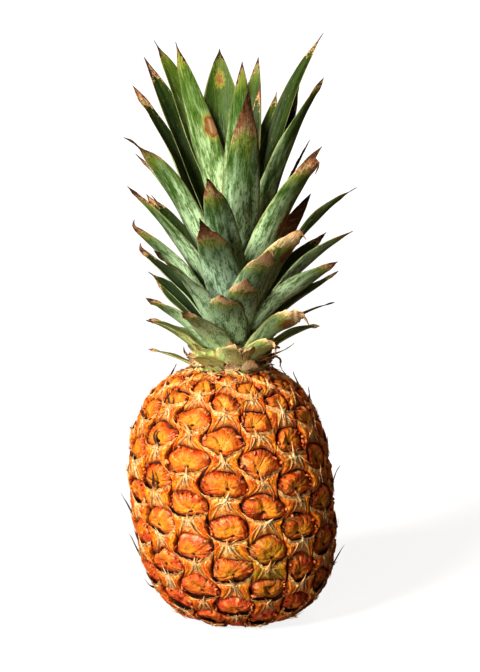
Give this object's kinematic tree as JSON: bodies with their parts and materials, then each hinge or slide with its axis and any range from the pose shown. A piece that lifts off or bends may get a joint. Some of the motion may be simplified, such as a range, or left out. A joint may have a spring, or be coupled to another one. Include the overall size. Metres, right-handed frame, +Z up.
{
  "type": "pineapple",
  "caption": "Whole ripe pineapple with its crown of leaves, standing upright on its cut base.",
  "frame": {"origin": "middle of the cut face of the stalk, level with the surface that the fruit stands on", "axes": "+Z up through the fruit and its crown, -Y the side the camera sees, +X to its right"},
  "size_m": [0.135, 0.1575, 0.3292],
  "materials": {
    "fruit_skin": "waxy, bumpy orange rind with brown crevices",
    "cut_stalk": "dry cut fibres",
    "crown_stem": "dull, pale yellow-green",
    "leaf": "grey-green waxy bloom with dried brown tips"
  },
  "bodies": {
    "root": {"fruit": "fruit_skin", "cut_stalk": "cut_stalk", "crown_stem": "crown_stem", "leaf_01": "leaf", "leaf_02": "leaf", "leaf_03": "leaf", "leaf_04": "leaf", "leaf_05": "leaf", "leaf_06": "leaf", "leaf_07": "leaf", "leaf_08": "leaf", "leaf_09": "leaf", "leaf_10": "leaf", "leaf_11": "leaf", "leaf_12": "leaf", "leaf_13": "leaf", "leaf_14": "leaf", "leaf_15": "leaf", "leaf_16": "leaf", "leaf_17": "leaf", "leaf_18": "leaf", "leaf_19": "leaf", "leaf_20": "leaf", "leaf_21": "leaf", "leaf_22": "leaf", "leaf_23": "leaf", "leaf_24": "leaf", "leaf_25": "leaf", "leaf_26": "leaf", "leaf_27": "leaf", "leaf_28": "leaf", "leaf_29": "leaf", "leaf_30": "leaf", "leaf_31": "leaf", "leaf_32": "leaf", "leaf_33": "leaf", "leaf_34": "leaf", "leaf_35": "leaf", "leaf_36": "leaf", "leaf_37": "leaf", "leaf_38": "leaf", "leaf_39": "leaf", "leaf_40": "leaf", "leaf_41": "leaf", "leaf_42": "leaf", "leaf_43": "leaf", "leaf_44": "leaf", "leaf_45": "leaf", "leaf_46": "leaf", "leaf_47": "leaf", "leaf_48": "leaf", "leaf_49": "leaf", "leaf_50": "leaf", "leaf_51": "leaf", "leaf_52": "leaf", "leaf_53": "leaf", "leaf_54": "leaf", "leaf_55": "leaf", "leaf_56": "leaf", "leaf_57": "leaf"}
  },
  "joints": []
}
